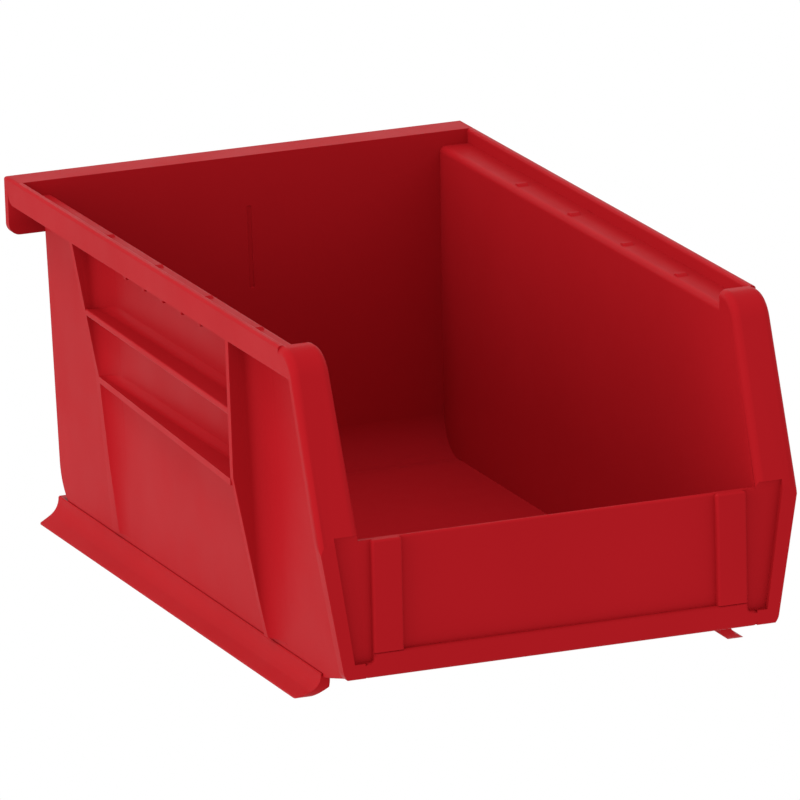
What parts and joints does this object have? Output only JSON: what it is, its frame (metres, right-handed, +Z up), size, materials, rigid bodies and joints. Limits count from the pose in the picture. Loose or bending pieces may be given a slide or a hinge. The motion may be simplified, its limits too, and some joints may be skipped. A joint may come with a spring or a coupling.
{
  "type": "stackable storage bin",
  "caption": "Open-front moulded plastic parts bin that stacks on ledges inside its rim and hangs on a louvred panel by a full-width lip at the back.",
  "frame": {"origin": "centre of the footprint, on the plane the runner soles stand on", "axes": "+Z up; the hopper opening at the front faces -Y and the hanger at the back faces +Y"},
  "size_m": [0.1048, 0.1872, 0.0762],
  "materials": {
    "polypropylene": "semi-gloss moulded red polypropylene"
  },
  "bodies": {
    "root": {"back_wall": "polypropylene", "back_wall_head": "polypropylene", "floor_panel": "polypropylene", "front_wall": "polypropylene", "hanger_lip": "polypropylene", "hanger_shelf": "polypropylene", "heel_curve": "polypropylene", "label_panel": "polypropylene", "label_sill": "polypropylene", "left_front_flange": "polypropylene", "left_front_rib": "polypropylene", "left_label_post": "polypropylene", "left_ledge_end_wall": "polypropylene", "left_ledge_stop_1": "polypropylene", "left_ledge_stop_2": "polypropylene", "left_ledge_stop_3": "polypropylene", "left_ledge_stop_4": "polypropylene", "left_lower_grip_rib": "polypropylene", "left_rear_rib": "polypropylene", "left_rim_band": "polypropylene", "left_rim_gusset_1": "polypropylene", "left_rim_gusset_2": "polypropylene", "left_rim_gusset_3": "polypropylene", "left_rim_gusset_4": "polypropylene", "left_rim_gusset_5": "polypropylene", "left_runner": "polypropylene", "left_side_wall": "polypropylene", "left_stacking_ledge": "polypropylene", "left_upper_grip_rib": "polypropylene", "right_front_flange": "polypropylene", "right_front_rib": "polypropylene", "right_label_post": "polypropylene", "right_ledge_end_wall": "polypropylene", "right_ledge_stop_1": "polypropylene", "right_ledge_stop_2": "polypropylene", "right_ledge_stop_3": "polypropylene", "right_ledge_stop_4": "polypropylene", "right_lower_grip_rib": "polypropylene", "right_rear_rib": "polypropylene", "right_rim_band": "polypropylene", "right_rim_gusset_1": "polypropylene", "right_rim_gusset_2": "polypropylene", "right_rim_gusset_3": "polypropylene", "right_rim_gusset_4": "polypropylene", "right_rim_gusset_5": "polypropylene", "right_runner": "polypropylene", "right_side_wall": "polypropylene", "right_stacking_ledge": "polypropylene", "right_upper_grip_rib": "polypropylene", "toe_ramp": "polypropylene"}
  },
  "joints": []
}
